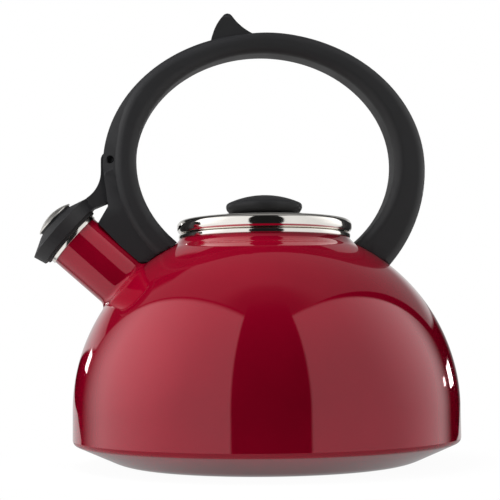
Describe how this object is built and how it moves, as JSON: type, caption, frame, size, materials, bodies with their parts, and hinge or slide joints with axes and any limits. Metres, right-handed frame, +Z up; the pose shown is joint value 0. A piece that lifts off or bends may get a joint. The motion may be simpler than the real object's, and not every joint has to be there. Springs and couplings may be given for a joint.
{
  "type": "stovetop whistling kettle",
  "caption": "Domed enamel stovetop kettle with a ring handle, a lift-off steel lid and a sprung lever that opens the whistle cap on its short spout.",
  "frame": {"origin": "centre of the flat base, on the body's axis, where the kettle stands", "axes": "+Z up, the spout points towards -X, the ring handle lies in the XZ plane"},
  "size_m": [0.2086, 0.19, 0.2236],
  "materials": {
    "enamel": "glossy red vitreous enamel on steel",
    "polished_steel": "polished stainless steel",
    "black_plastic": "fine matt grain, black phenolic and nylon mouldings",
    "plain_steel": "plain steel hardware",
    "seal_rubber": "soft black silicone"
  },
  "bodies": {
    "kettle": {"body_shell": "enamel", "base_pan": "enamel", "spout_tube": "enamel", "mouth_ring": "polished_steel", "opening_rim": "polished_steel", "handle": "black_plastic", "spout_side_bracket": "plain_steel", "rear_bracket": "plain_steel", "spout_side_screw": "plain_steel", "rear_screw": "plain_steel", "lever_pin": "plain_steel", "lever_spring": "plain_steel"},
    "lever": {"spout_lever": "black_plastic", "cap_seal": "seal_rubber", "whistle_lower_plate": "plain_steel", "whistle_upper_plate": "plain_steel", "whistle_housing": "black_plastic", "whistle_disc": "polished_steel"},
    "lid": {"lid_cover": "polished_steel", "lid_plug": "polished_steel", "lid_knob": "black_plastic", "knob_washer": "plain_steel", "knob_screw": "plain_steel"}
  },
  "joints": [
    {"name": "spout_opening", "type": "hinge", "parent": "kettle", "child": "lever", "pos_m": [-0.0768, 0, 0.14935], "axis": [0, 1, 0], "range_deg": [0, 5], "stiffness_Nm_per_rad": 0.6, "springref_deg": -28.65, "deforming": ["lever_spring"]},
    {"name": "lid_lift", "type": "slide", "parent": "kettle", "child": "lid", "axis": [0, 0, 1], "range_m": [0, 0.055]}
  ]
}
